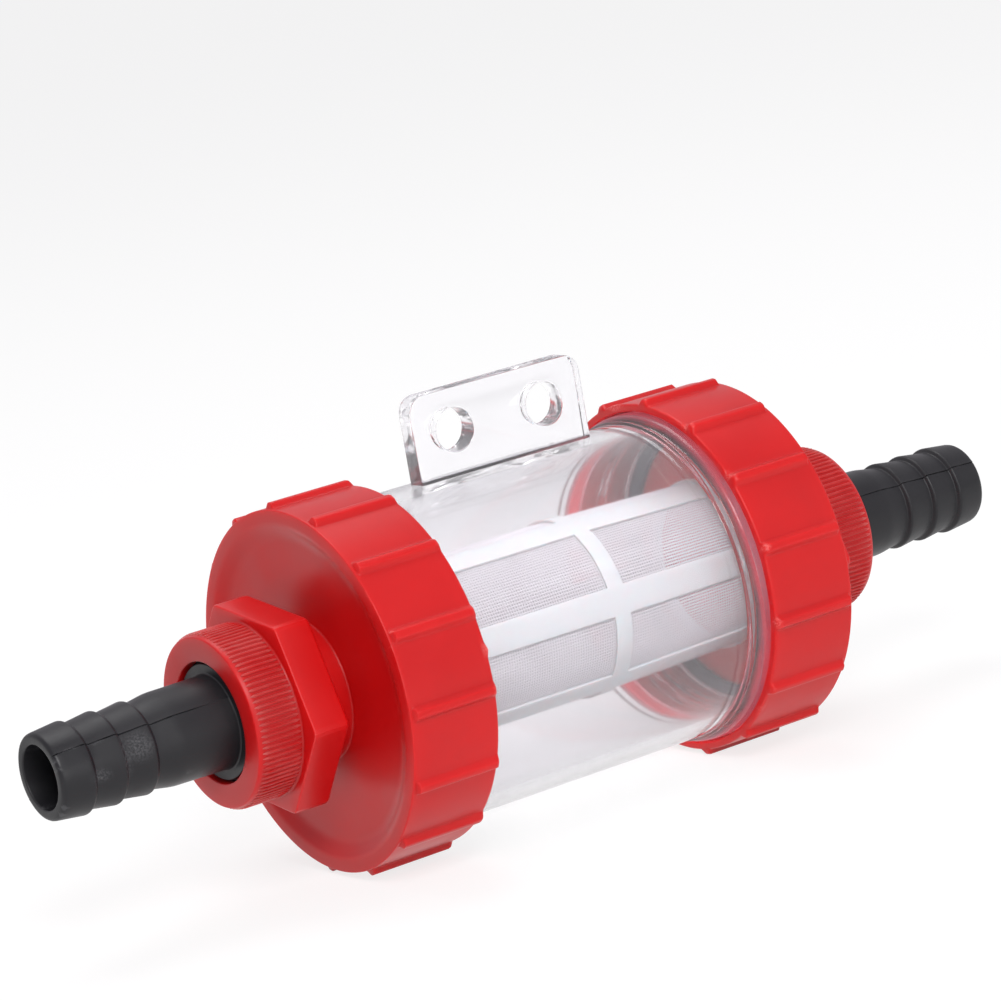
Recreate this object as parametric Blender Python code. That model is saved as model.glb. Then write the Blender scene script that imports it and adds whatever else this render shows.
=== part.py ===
"""Inline mesh filter: a clear tube with a bracket plate, two ribbed screw caps, union nuts, hose tails and a screen.

Metres, +Z up. The flow runs along X from the inlet at -X to the outlet at +X. The filter stands on the lowest ribs
of its caps, and the origin lies on that surface, under the middle of the tube.
"""
from math import cos, pi, radians, sin

import bmesh
import bpy
from mathutils import Matrix, Vector

MM = 0.001
SEAT_GAP = 0.3 * MM            # between pieces that touch in the real filter

# Clear housing tube
TUBE_RADIUS = 33.1 * MM
TUBE_WALL = 2.8 * MM
TUBE_HALF_LENGTH = 46.9 * MM
TUBE_EDGE_CHAMFER = 0.6 * MM
COLLAR_PROUD = 1.3 * MM        # the stop collar that shows at each cap's mouth
COLLAR_WIDTH = 1.8 * MM
COLLAR_SETBACK = 1.3 * MM      # from the cap's mouth to the collar's near side
TUBE_SEGMENTS = 36

# Coarse thread between the tube and its caps, right-handed
CAP_PITCH = 4.0 * MM
CAP_THREAD_ROOT = 2.0 * MM     # width of a ridge at its root
CAP_THREAD_CREST = 1.0 * MM    # width of a ridge at its crest
THREAD_SINK = 0.3 * MM         # how far a ridge's root reaches into its wall
THREAD_RADIAL_GAP = 0.35 * MM
TUBE_THREAD_TURNS = 1.5
TUBE_THREAD_START = 2.2 * MM   # from the tube's end to its first ridge
CAP_THREAD_TURNS = 1.0
THREAD_TURN = 180.0 / TUBE_SEGMENTS   # degrees: a ridge's corners lie over the middle of the tube's facets
THREAD_FADE = 0.12             # share of a ridge, at each end, over which it rises from its wall

# Bracket plate on top of the tube
BRACKET_LENGTH = 41.2 * MM
BRACKET_THICKNESS = 4.5 * MM
BRACKET_RISE = 17.5 * MM       # height of its top above the tube's wall
BRACKET_CORNER_RADIUS = 3.6 * MM
BRACKET_HOLE_RADIUS = 4.3 * MM
BRACKET_HOLE_SPACING = 21.8 * MM
BRACKET_HOLE_DROP = 8.3 * MM   # from the plate's top to the middle of its holes
BRACKET_FOOT_SINK = 1.0 * MM   # how far the plate's foot reaches into the tube's wall

# Screw caps
CAP_THREAD_ROOM = 1.75 * MM    # between the tube's wall and the cap's bore, for both ridges
CAP_WALL = 1.65 * MM
CAP_FLOOR = 3.0 * MM
CAP_FACE_RECESS = 1.5 * MM
CAP_RIM_WIDTH = 3.2 * MM
CAP_EDGE_CHAMFER = 0.5 * MM
CAP_SKIRT_OVERLAP = 13.1 * MM  # length of tube that the skirt covers
CAP_RIB_COUNT = 15
CAP_RIB_HEIGHT = 1.2 * MM
CAP_RIB_FOOT = 2.8 * MM        # width of a rib where it leaves the skirt
CAP_RIB_CREST = 2.0 * MM
CAP_RIB_SETBACK = 0.6 * MM     # from the cap's face to the blunt ends of the ribs
CAP_SEGMENTS = 45
INLET_RIB_PHASE = 94.5         # degrees, from the front (-Y) over the top
OUTLET_RIB_PHASE = 85.6
GASKET_THICKNESS = 1.5 * MM
GASKET_WIDTH = 6.6 * MM
GASKET_SEGMENTS = 26

# Threaded spigot on each cap and the union nut on it
SPIGOT_RADIUS = 14.6 * MM
SPIGOT_WALL = 3.6 * MM
SPIGOT_LENGTH = 16.0 * MM
NUT_BORE_GAP = 0.5 * MM
NUT_STANDOFF = 5.7 * MM        # from the cap's recessed face to the tightened nut
HEX_CORNER_RADIUS = 21.9 * MM
HEX_THICKNESS = 8.0 * MM
HEX_CHAMFER = 0.7 * MM
HEX_TURN = -7.4                # degrees, the tightened nut's turn about its axis
COLLAR_RADIUS = 17.7 * MM      # the nut's knurled collar
KNURL_DEPTH = 0.45 * MM
KNURL_COUNT = 40
NUT_EDGE_CHAMFER = 0.9 * MM
NUT_FRONT_WALL = 2.3 * MM
NUT_HOLE_RADIUS = 12.2 * MM
NUT_SEGMENTS = 24

# Barbed hose tails
TAIL_RADIUS = 9.3 * MM
TAIL_BORE_RADIUS = 6.4 * MM
TAIL_LENGTH = 43.3 * MM        # from the flange's inner face to the tip
TAIL_FLANGE_THICKNESS = 3.0 * MM
TAIL_FLANGE_GAP = 1.0 * MM     # radial, between the flange and the nut's bore
TAIL_HUB_RADIUS = 11.6 * MM    # the lip that shows in the nut's hole
TAIL_HUB_LENGTH = 1.9 * MM
BARB_COUNT = 3
BARB_PITCH = 6.8 * MM
BARB_DEPTH = 0.85 * MM
BARB_STEP = 0.6 * MM           # length of the slope behind each barb's edge
BARB_GROOVE = 5.0 * MM         # length of the slope from the first barb back up to the tail's body
TAIL_TIP_ROUND = 0.7 * MM
TAIL_SEGMENTS = 22
WASHER_THICKNESS = 1.4 * MM
WASHER_BORE_RADIUS = 9.4 * MM
WASHER_SEGMENTS = 18

# Screen: a cage on the outlet cap's ring, closed at its inlet end, with a woven sleeve inside
CAGE_RADIUS = 18.6 * MM
CAGE_SEAT_RADIUS = 17.7 * MM   # outer radius at the open end
CAGE_WALL = 1.4 * MM
CAGE_INLET_BAY = 34.9 * MM      # length of the windows nearer the inlet
CAGE_END_ROOM = 18.9 * MM      # free length between the closed end and the inlet cap's floor
CAGE_RING_WIDTH = 3.8 * MM     # the ring between the two bays
CAGE_COLLAR_WIDTH = 2.6 * MM   # the solid collar at the closed end
CAGE_SEAT_WIDTH = 5.0 * MM     # the solid collar that goes over the cap's ring
CAGE_RIB_COUNT = 6
CAGE_RIB_PHASE = 10.0          # degrees, as for the caps' ribs
CAGE_FACETS_PER_RIB = 4        # one of them is the rib, the others the window
CAGE_HUB_SHARE = 0.35          # radius of the closed end's middle facet against the cage's
RING_LENGTH = 4.0 * MM         # the locating ring inside each cap
RING_SIDE_GAP = 0.4 * MM
MESH_THICKNESS = 0.5 * MM
MESH_GAP_ROWS = 5
MESH_COLUMNS_PER_RIB = 4

# Places along the axis, outward from the middle of the tube
MOUTH_X = TUBE_HALF_LENGTH - CAP_SKIRT_OVERLAP
THREAD_X = TUBE_HALF_LENGTH - TUBE_THREAD_START - CAP_PITCH * TUBE_THREAD_TURNS
FLOOR_X = TUBE_HALF_LENGTH + SEAT_GAP + GASKET_THICKNESS + SEAT_GAP
DISC_X = FLOOR_X + CAP_FLOOR
FACE_X = DISC_X + CAP_FACE_RECESS
SPIGOT_END_X = DISC_X + SPIGOT_LENGTH
WASHER_X = SPIGOT_END_X + SEAT_GAP
FLANGE_X = WASHER_X + WASHER_THICKNESS + SEAT_GAP
NUT_REAR_X = DISC_X + NUT_STANDOFF
NUT_WALL_X = FLANGE_X + TAIL_FLANGE_THICKNESS + SEAT_GAP
NUT_FRONT_X = NUT_WALL_X + NUT_FRONT_WALL
KNURL_X = NUT_REAR_X + HEX_THICKNESS
TIP_X = FLANGE_X + TAIL_LENGTH

# Radii that follow from their neighbours
CAP_BORE_RADIUS = TUBE_RADIUS + CAP_THREAD_ROOM
CAP_RADIUS = CAP_BORE_RADIUS + CAP_WALL
BRACKET_TOP = TUBE_RADIUS + BRACKET_RISE
BRACKET_HOLE_HEIGHT = BRACKET_TOP - BRACKET_HOLE_DROP
TUBE_CREST_RADIUS = CAP_BORE_RADIUS - THREAD_RADIAL_GAP
CAP_CREST_RADIUS = TUBE_RADIUS + THREAD_RADIAL_GAP
GASKET_RADIUS = CAP_BORE_RADIUS - SEAT_GAP
SPIGOT_BORE_RADIUS = SPIGOT_RADIUS - SPIGOT_WALL
NUT_BORE_RADIUS = SPIGOT_RADIUS + NUT_BORE_GAP
FLANGE_RADIUS = NUT_BORE_RADIUS - TAIL_FLANGE_GAP
RING_RADIUS = CAGE_SEAT_RADIUS - CAGE_WALL - RING_SIDE_GAP
RIB_TIP_RADIUS = CAP_RADIUS + CAP_RIB_HEIGHT

# The screen's places along X
CAGE_OPEN_X = FLOOR_X - SEAT_GAP
CAGE_SEAT_X = CAGE_OPEN_X - CAGE_SEAT_WIDTH
CAGE_CLOSED_X = CAGE_END_ROOM - FLOOR_X
CAGE_BAY_X = CAGE_CLOSED_X + CAGE_COLLAR_WIDTH
CAGE_BAY_END_X = CAGE_BAY_X + CAGE_INLET_BAY
CAGE_RING_X = CAGE_BAY_END_X + CAGE_RING_WIDTH
RING_END_X = FLOOR_X - RING_LENGTH
CAGE_SEGMENTS = CAGE_RIB_COUNT * CAGE_FACETS_PER_RIB


def around(x, radius, degrees):
    """A point on the circle of that radius at x. The angle runs from the front (-Y) over the top (+Z)."""
    angle = radians(degrees)
    return Vector((x, -radius * cos(angle), radius * sin(angle)))


def lowest_reach():
    """How far the caps' ribs reach below the axis."""
    half_crest = CAP_RIB_CREST / 2
    reach = 0.0
    for phase in (INLET_RIB_PHASE, OUTLET_RIB_PHASE):
        for rib in range(CAP_RIB_COUNT):
            angle = radians(phase + 360.0 * rib / CAP_RIB_COUNT)
            reach = max(reach, -RIB_TIP_RADIUS * sin(angle) + half_crest * abs(cos(angle)))
    return reach


AXIS_HEIGHT = lowest_reach()


def clear_scene():
    for old in list(bpy.data.objects):
        bpy.data.objects.remove(old, do_unlink=True)


def material(name, colour, roughness, alpha=1.0, transmission=0.0):
    made = bpy.data.materials.new(name)
    made.use_nodes = True
    shader = made.node_tree.nodes["Principled BSDF"]
    shader.inputs["Base Color"].default_value = (*colour, 1.0)
    shader.inputs["Roughness"].default_value = roughness
    shader.inputs["Metallic"].default_value = 0.0
    shader.inputs["Transmission Weight"].default_value = transmission
    shader.inputs["Alpha"].default_value = alpha
    made.diffuse_color = (*colour, alpha)
    return made


def add_object(name, mesh, surface=None):
    made = bpy.data.objects.new(name, mesh)
    bpy.context.scene.collection.objects.link(made)
    if surface is not None:
        mesh.materials.append(surface)
    return made


def finish_mesh(bm, name):
    bmesh.ops.remove_doubles(bm, verts=bm.verts, dist=0.001 * MM)
    bmesh.ops.recalc_face_normals(bm, faces=bm.faces)
    mesh = bpy.data.meshes.new(name)
    bm.to_mesh(mesh)
    bm.free()
    return mesh


def shade(item):
    """Rounds shade smooth and edges over 35 degrees stay crisp."""
    item.data.shade_smooth()
    item.data.set_sharp_from_angle(angle=radians(35))


def turned(name, profile, segments, start_degrees=0.0):
    """Spins a closed outline of (x, radius) points once about the X axis."""
    bm = bmesh.new()
    points = [bm.verts.new(around(x, radius, start_degrees)) for x, radius in profile]
    edges = [bm.edges.new((points[i - 1], points[i])) for i in range(len(points))]
    bmesh.ops.spin(bm, geom=points + edges, cent=(0, 0, 0), axis=(1, 0, 0), angle=2 * pi, steps=segments)
    return finish_mesh(bm, name)


def mirrored(profile):
    """The same outline at the other end of the filter."""
    return [(-x, radius) for x, radius in profile]


def loft(bm, rings):
    """Skins between rings of equal vertex count and caps both ends with one face each."""
    made = [[bm.verts.new(point) for point in ring] for ring in rings]
    count = len(rings[0])
    for first, second in zip(made, made[1:]):
        for i in range(count):
            j = (i + 1) % count
            bm.faces.new((first[i], first[j], second[j], second[i]))
    bm.faces.new(reversed(made[0]))
    bm.faces.new(made[-1])


def helical_ridge(name, side, wall_radius, crest_radius, start_x, turns):
    """A right-handed thread ridge at the outlet's end that fades into its wall at both ends.

    It advances along +X as its angle grows about +X, which is the way that `around` counts backwards. Turned end
    for end, the same ridge serves the inlet and is still right-handed.
    """
    sink = THREAD_SINK if crest_radius > wall_radius else -THREAD_SINK
    steps = round(turns * TUBE_SEGMENTS)
    rings = []
    for step in range(steps + 1):
        share = step / steps
        rise = min(1.0, share / THREAD_FADE, (1.0 - share) / THREAD_FADE)
        crest = wall_radius + (crest_radius - wall_radius) * rise
        if rise <= 0.0:
            crest = wall_radius - 0.5 * sink
        angle = THREAD_TURN - 360.0 * step / TUBE_SEGMENTS
        middle = start_x + CAP_PITCH * step / TUBE_SEGMENTS
        rings.append([
            around(middle - CAP_THREAD_ROOT / 2, wall_radius - sink, angle),
            around(middle - CAP_THREAD_CREST / 2, crest, angle),
            around(middle + CAP_THREAD_CREST / 2, crest, angle),
            around(middle + CAP_THREAD_ROOT / 2, wall_radius - sink, angle),
        ])
    bm = bmesh.new()
    loft(bm, rings)
    if side < 0:
        bmesh.ops.rotate(bm, verts=bm.verts, cent=(0, 0, 0), matrix=Matrix.Rotation(pi, 3, "Z"))
    return finish_mesh(bm, name)


def boolean(target, cutter, operation):
    """Applies the exact Boolean to the target's mesh and keeps the cutter out of the model."""
    cutter.hide_render = True
    cutter.display_type = "WIRE"
    step = target.modifiers.new(cutter.name, "BOOLEAN")
    step.operation = operation
    step.solver = "EXACT"
    step.object = cutter


def guide(name, mesh):
    return add_object("guide_" + name, mesh)


def housing_outline():
    """Half section of the tube: bore, chamfered ends and a stop collar behind each cap's mouth."""
    bore = TUBE_RADIUS - TUBE_WALL
    collar_outer_x = MOUTH_X - COLLAR_SETBACK
    collar_inner_x = collar_outer_x - COLLAR_WIDTH
    half = [
        (collar_inner_x - COLLAR_PROUD / 2, TUBE_RADIUS),
        (collar_inner_x, TUBE_RADIUS + COLLAR_PROUD),
        (collar_outer_x, TUBE_RADIUS + COLLAR_PROUD),
        (collar_outer_x, TUBE_RADIUS),
        (TUBE_HALF_LENGTH - TUBE_EDGE_CHAMFER, TUBE_RADIUS),
        (TUBE_HALF_LENGTH, TUBE_RADIUS - TUBE_EDGE_CHAMFER),
        (TUBE_HALF_LENGTH, bore),
    ]
    return half + mirrored(reversed(half))


def bracket_plate():
    """The upright plate, its top corners rounded, with its foot inside the tube's wall."""
    half = BRACKET_LENGTH / 2
    foot = TUBE_RADIUS - BRACKET_FOOT_SINK
    shoulder = BRACKET_TOP - BRACKET_CORNER_RADIUS
    outline = [(-half, foot), (half, foot)]
    for side, first in ((1, 0.0), (-1, 90.0)):
        for step in range(5):
            angle = radians(first + 22.5 * step)
            outline.append((side * (half - BRACKET_CORNER_RADIUS) + BRACKET_CORNER_RADIUS * cos(angle),
                            shoulder + BRACKET_CORNER_RADIUS * sin(angle)))
    bm = bmesh.new()
    loft(bm, [[Vector((x, y, z)) for x, z in outline] for y in (-BRACKET_THICKNESS / 2, BRACKET_THICKNESS / 2)])
    return finish_mesh(bm, "bracket_plate")


def bracket_hole(side):
    bm = bmesh.new()
    middle = Matrix.Translation((side * BRACKET_HOLE_SPACING / 2, 0, BRACKET_HOLE_HEIGHT))
    place = middle @ Matrix.Rotation(pi / 2, 4, "X")
    bmesh.ops.create_cone(bm, cap_ends=True, segments=20, radius1=BRACKET_HOLE_RADIUS, radius2=BRACKET_HOLE_RADIUS,
                          depth=2 * BRACKET_THICKNESS, matrix=place)
    return finish_mesh(bm, "bracket_hole")


def tube_thread(side):
    return helical_ridge("tube_thread", side, TUBE_RADIUS, TUBE_CREST_RADIUS, THREAD_X, TUBE_THREAD_TURNS)


def cap_thread(side):
    """The cap's ridge: the same helix as the tube's, half a pitch further along."""
    start_x = THREAD_X + CAP_PITCH / 2
    return helical_ridge("cap_thread", side, CAP_BORE_RADIUS, CAP_CREST_RADIUS, start_x, CAP_THREAD_TURNS)


def make_housing(surface):
    item = add_object("housing", turned("housing", housing_outline(), TUBE_SEGMENTS), surface)
    for side in (-1, 1):
        boolean(item, guide(f"tube_thread_{side}", tube_thread(side)), "UNION")
    plate = guide("bracket_plate", bracket_plate())
    boolean(item, plate, "UNION")
    for side in (-1, 1):
        boolean(item, guide(f"bracket_hole_{side}", bracket_hole(side)), "DIFFERENCE")
    shade(item)
    return item


def cap_outline():
    """Half section of a cap: skirt, recessed face, threaded spigot outside and locating ring inside."""
    recess_radius = CAP_RADIUS - CAP_RIM_WIDTH
    return [
        (MOUTH_X, CAP_BORE_RADIUS),
        (MOUTH_X, CAP_RADIUS),
        (FACE_X - CAP_EDGE_CHAMFER, CAP_RADIUS),
        (FACE_X, CAP_RADIUS - CAP_EDGE_CHAMFER),
        (FACE_X, recess_radius),
        (DISC_X, recess_radius - CAP_FACE_RECESS / 3),
        (DISC_X, SPIGOT_RADIUS),
        (SPIGOT_END_X, SPIGOT_RADIUS),
        (SPIGOT_END_X, SPIGOT_BORE_RADIUS),
        (RING_END_X, SPIGOT_BORE_RADIUS),
        (RING_END_X, RING_RADIUS),
        (FLOOR_X, RING_RADIUS),
        (FLOOR_X, CAP_BORE_RADIUS),
    ]


def cap_ribs(side, phase):
    """All grip ribs of one cap as separate wedges whose feet reach into the skirt."""
    bm = bmesh.new()
    foot = CAP_RADIUS - 0.5 * CAP_WALL
    slope = (CAP_RIB_FOOT - CAP_RIB_CREST) / 2 / CAP_RIB_HEIGHT
    half_foot = CAP_RIB_FOOT / 2 + slope * (CAP_RADIUS - foot)
    half_crest = CAP_RIB_CREST / 2
    for rib in range(CAP_RIB_COUNT):
        angle = radians(phase + 360.0 * rib / CAP_RIB_COUNT)
        out = Vector((0, -cos(angle), sin(angle)))
        across = Vector((0, sin(angle), cos(angle)))
        section = [out * foot - across * half_foot, out * foot + across * half_foot,
                   out * RIB_TIP_RADIUS + across * half_crest, out * RIB_TIP_RADIUS - across * half_crest]
        ends = [Vector((side * x, 0, 0)) for x in (MOUTH_X, FACE_X - CAP_RIB_SETBACK)]
        loft(bm, [[point + end for point in section] for end in ends])
    return finish_mesh(bm, "cap_ribs")


def make_cap(name, side, phase, surface):
    outline = cap_outline() if side > 0 else mirrored(cap_outline())
    half_facet = 180.0 / CAP_SEGMENTS
    item = add_object(name, turned(name, outline, CAP_SEGMENTS, phase + half_facet), surface)
    boolean(item, guide(name + "_ribs", cap_ribs(side, phase)), "UNION")
    boolean(item, guide(name + "_thread", cap_thread(side)), "UNION")
    shade(item)
    return item


def make_gasket(name, side, surface):
    """Flat ring between the tube's end and the cap's floor."""
    inner_x = TUBE_HALF_LENGTH + SEAT_GAP
    outer_x = inner_x + GASKET_THICKNESS
    bore = GASKET_RADIUS - GASKET_WIDTH
    outline = [(inner_x, bore), (inner_x, GASKET_RADIUS), (outer_x, GASKET_RADIUS), (outer_x, bore)]
    item = add_object(name, turned(name, outline if side > 0 else mirrored(outline), GASKET_SEGMENTS), surface)
    shade(item)
    return item


def knurled_collar(side):
    """The collar's body: a zigzag ring, then a plain chamfer to the front face."""
    points = 2 * KNURL_COUNT
    stations = [
        (KNURL_X - HEX_CHAMFER, COLLAR_RADIUS, KNURL_DEPTH),
        (NUT_FRONT_X - NUT_EDGE_CHAMFER, COLLAR_RADIUS, KNURL_DEPTH),
        (NUT_FRONT_X, COLLAR_RADIUS - NUT_EDGE_CHAMFER, 0.0),
    ]
    bm = bmesh.new()
    loft(bm, [[around(side * x, radius - depth * (i % 2), 360.0 * i / points) for i in range(points)]
              for x, radius, depth in stations])
    return finish_mesh(bm, "knurled_collar")


def hex_body(side):
    """Six flats with chamfered corners front and back."""
    inset = HEX_CORNER_RADIUS - HEX_CHAMFER
    stations = [(NUT_REAR_X, inset), (NUT_REAR_X + HEX_CHAMFER, HEX_CORNER_RADIUS),
                (KNURL_X - HEX_CHAMFER / 2, HEX_CORNER_RADIUS), (KNURL_X, HEX_CORNER_RADIUS - HEX_CHAMFER / 2)]
    bm = bmesh.new()
    loft(bm, [[around(side * x, radius, HEX_TURN + 60.0 * i) for i in range(6)] for x, radius in stations])
    return finish_mesh(bm, "hex_body")


def nut_bore(side):
    """What is bored out of the nut: the threaded length from behind and the hole for the tail in front."""
    beyond = 2 * MM
    outline = [(NUT_REAR_X - beyond, 0.0), (NUT_REAR_X - beyond, NUT_BORE_RADIUS), (NUT_WALL_X, NUT_BORE_RADIUS),
               (NUT_WALL_X, NUT_HOLE_RADIUS), (NUT_FRONT_X + beyond, NUT_HOLE_RADIUS), (NUT_FRONT_X + beyond, 0.0)]
    return turned("nut_bore", outline if side > 0 else mirrored(outline), NUT_SEGMENTS)


def make_nut(name, side, surface):
    item = add_object(name, hex_body(side), surface)
    boolean(item, guide(name + "_collar", knurled_collar(side)), "UNION")
    boolean(item, guide(name + "_bore", nut_bore(side)), "DIFFERENCE")
    shade(item)
    return item


def tail_outline():
    """Half section of a hose tail: flange and lip, plain body, barbs that open towards the nut, rounded tip."""
    hub_end_x = FLANGE_X + TAIL_FLANGE_THICKNESS + TAIL_HUB_LENGTH
    neck = TAIL_RADIUS - BARB_DEPTH
    first_edge_x = TIP_X - BARB_COUNT * BARB_PITCH
    outline = [
        (FLANGE_X, TAIL_BORE_RADIUS),
        (FLANGE_X, FLANGE_RADIUS),
        (FLANGE_X + TAIL_FLANGE_THICKNESS, FLANGE_RADIUS),
        (FLANGE_X + TAIL_FLANGE_THICKNESS, TAIL_HUB_RADIUS),
        (hub_end_x, TAIL_HUB_RADIUS),
        (hub_end_x, TAIL_RADIUS),
        (first_edge_x - BARB_STEP - BARB_GROOVE, TAIL_RADIUS),
    ]
    for barb in range(BARB_COUNT):
        edge_x = first_edge_x + barb * BARB_PITCH
        outline += [(edge_x - BARB_STEP, neck), (edge_x, TAIL_RADIUS)]
    outline += [
        (TIP_X - TAIL_TIP_ROUND, neck + TAIL_TIP_ROUND / 4),
        (TIP_X, neck - TAIL_TIP_ROUND),
        (TIP_X, TAIL_BORE_RADIUS),
    ]
    return outline


def make_tail(name, side, surface):
    outline = tail_outline() if side > 0 else mirrored(tail_outline())
    item = add_object(name, turned(name, outline, TAIL_SEGMENTS), surface)
    shade(item)
    return item


def make_washer(name, side, surface):
    outer_x = WASHER_X + WASHER_THICKNESS
    outline = [(WASHER_X, WASHER_BORE_RADIUS), (WASHER_X, FLANGE_RADIUS),
               (outer_x, FLANGE_RADIUS), (outer_x, WASHER_BORE_RADIUS)]
    item = add_object(name, turned(name, outline if side > 0 else mirrored(outline), WASHER_SEGMENTS), surface)
    shade(item)
    return item


def cage_radius_at(x):
    """The cage is straight to its middle ring and then tapers to the open end."""
    share = max(0.0, (x - CAGE_RING_X) / (CAGE_OPEN_X - CAGE_RING_X))
    return CAGE_RADIUS + (CAGE_SEAT_RADIUS - CAGE_RADIUS) * share


def walled(item, thickness):
    """Gives an open sheet its wall, inwards from the sheet."""
    wall = item.modifiers.new("wall", "SOLIDIFY")
    wall.thickness = thickness
    wall.offset = -1.0
    wall.use_even_offset = True
    wall.use_rim = True


def sleeve_sheet(name, stations, segments, phase, is_open, radius_at, closed_x=None):
    """A round sheet of facets between the stations along X, without those for which is_open is true."""
    bm = bmesh.new()
    rings = [[bm.verts.new(around(x, radius_at(x), phase + 360.0 * (i - 0.5) / segments)) for i in range(segments)]
             for x in stations]
    for row, (first, second) in enumerate(zip(rings, rings[1:])):
        for i in range(segments):
            if not is_open(row, i):
                j = (i + 1) % segments
                bm.faces.new((first[i], second[i], second[j], first[j]))
    if closed_x is not None:
        hub_radius = radius_at(closed_x) * CAGE_HUB_SHARE
        hub = [bm.verts.new(around(closed_x, hub_radius, phase + 360.0 * (i - 0.5) / segments))
               for i in range(segments)]
        for i in range(segments):
            j = (i + 1) % segments
            bm.faces.new((rings[0][i], rings[0][j], hub[j], hub[i]))
        bm.faces.new(hub)
    bmesh.ops.recalc_face_normals(bm, faces=bm.faces)
    mesh = bpy.data.meshes.new(name)
    bm.to_mesh(mesh)
    bm.free()
    return mesh


def make_cage(surface):
    """Cage of ribs and rings, closed by a disc at its inlet end, open over the outlet cap's locating ring."""
    stations = [CAGE_CLOSED_X, CAGE_BAY_X, CAGE_BAY_END_X, CAGE_RING_X, CAGE_SEAT_X, CAGE_OPEN_X]
    bays = (1, 3)

    def is_window(row, facet):
        return row in bays and facet % CAGE_FACETS_PER_RIB != 0

    mesh = sleeve_sheet("screen_cage", stations, CAGE_SEGMENTS, CAGE_RIB_PHASE, is_window, cage_radius_at, CAGE_CLOSED_X)
    item = add_object("screen_cage", mesh, surface)
    walled(item, CAGE_WALL)
    shade(item)
    return item


def make_mesh_sleeve(surface):
    """Woven sleeve inside the cage: a thin wall of crossing bars with open gaps between them."""
    first_x = CAGE_CLOSED_X + CAGE_WALL + SEAT_GAP
    last_x = RING_END_X - SEAT_GAP
    segments = CAGE_RIB_COUNT * MESH_COLUMNS_PER_RIB
    rows = 2 * MESH_GAP_ROWS + 1
    stations = [first_x + (last_x - first_x) * row / rows for row in range(rows + 1)]

    def is_gap(row, facet):
        return row % 2 == 1 and facet % 2 == 1

    def sleeve_radius(x):
        return cage_radius_at(x) - CAGE_WALL - SEAT_GAP

    mesh = sleeve_sheet("screen_mesh", stations, segments, CAGE_RIB_PHASE, is_gap, sleeve_radius)
    item = add_object("screen_mesh", mesh, surface)
    walled(item, MESH_THICKNESS)
    shade(item)
    return item


def build():
    clear_scene()
    clear = material("clear_plastic", (0.92, 0.93, 0.95), 0.12, alpha=0.35, transmission=0.9)
    red = material("red_plastic", (0.72, 0.035, 0.03), 0.38)
    black = material("black_plastic", (0.025, 0.025, 0.028), 0.55)
    rubber = material("dark_rubber", (0.05, 0.05, 0.055), 0.7)
    white = material("white_plastic", (0.88, 0.88, 0.9), 0.45)
    gauze = material("white_gauze", (0.8, 0.8, 0.83), 0.5)
    made = [make_housing(clear), make_cage(white), make_mesh_sleeve(gauze)]
    for end, side, phase in (("inlet", -1, INLET_RIB_PHASE), ("outlet", 1, OUTLET_RIB_PHASE)):
        made.append(make_cap(end + "_cap", side, phase, red))
        made.append(make_gasket(end + "_gasket", side, rubber))
        made.append(make_nut(end + "_nut", side, red))
        made.append(make_washer(end + "_washer", side, rubber))
        made.append(make_tail(end + "_tail", side, black))
    lift = Matrix.Translation((0, 0, AXIS_HEIGHT))
    for item in list(bpy.data.objects):
        item.matrix_world = lift @ item.matrix_world
    return made


build()
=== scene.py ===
import math

import bmesh
import bpy
from mathutils import Matrix, Vector


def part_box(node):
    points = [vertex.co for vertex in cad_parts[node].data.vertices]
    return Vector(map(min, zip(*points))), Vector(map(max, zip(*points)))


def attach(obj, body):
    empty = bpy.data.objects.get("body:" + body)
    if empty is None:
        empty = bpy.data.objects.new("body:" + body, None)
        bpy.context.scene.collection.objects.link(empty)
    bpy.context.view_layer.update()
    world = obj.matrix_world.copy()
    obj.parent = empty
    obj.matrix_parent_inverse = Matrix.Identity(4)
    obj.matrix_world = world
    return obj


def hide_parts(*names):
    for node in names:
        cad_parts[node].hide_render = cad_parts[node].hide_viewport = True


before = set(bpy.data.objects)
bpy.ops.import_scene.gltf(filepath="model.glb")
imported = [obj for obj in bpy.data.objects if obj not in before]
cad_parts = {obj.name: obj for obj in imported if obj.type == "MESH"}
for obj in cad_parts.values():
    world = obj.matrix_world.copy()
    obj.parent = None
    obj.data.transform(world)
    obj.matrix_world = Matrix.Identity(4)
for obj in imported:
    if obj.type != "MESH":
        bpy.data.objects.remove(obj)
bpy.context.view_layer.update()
scene = bpy.context.scene
mm = 0.001
gasketLow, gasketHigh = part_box("outlet_gasket")
axisZ = (gasketLow[2] + gasketHigh[2]) / 2
ends = (("inlet", -1), ("outlet", 1))
print("frame loaded, axis height", round(axisZ, 5))


# Shapes shared by the pieces. Sizes are in millimetres and angles in degrees, from the front upwards.

sideShare = 0.45  # the most of a side that a fillet may take
onSkin = 0.05  # how near a radius comes for its point to lie on that skin


def polar(x, radius, degrees):
    angle = math.radians(degrees)
    return Vector((x * mm, -radius * math.cos(angle) * mm, axisZ + radius * math.sin(angle) * mm))


def smooth(share):
    share = min(1.0, max(0.0, share))
    return share * share * (3.0 - 2.0 * share)


def offAngle(degrees, middle, period=360.0):
    # How far an angle lies from the nearest repeat of the middle, with its sign.
    return (degrees - middle + period / 2) % period - period / 2


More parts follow.
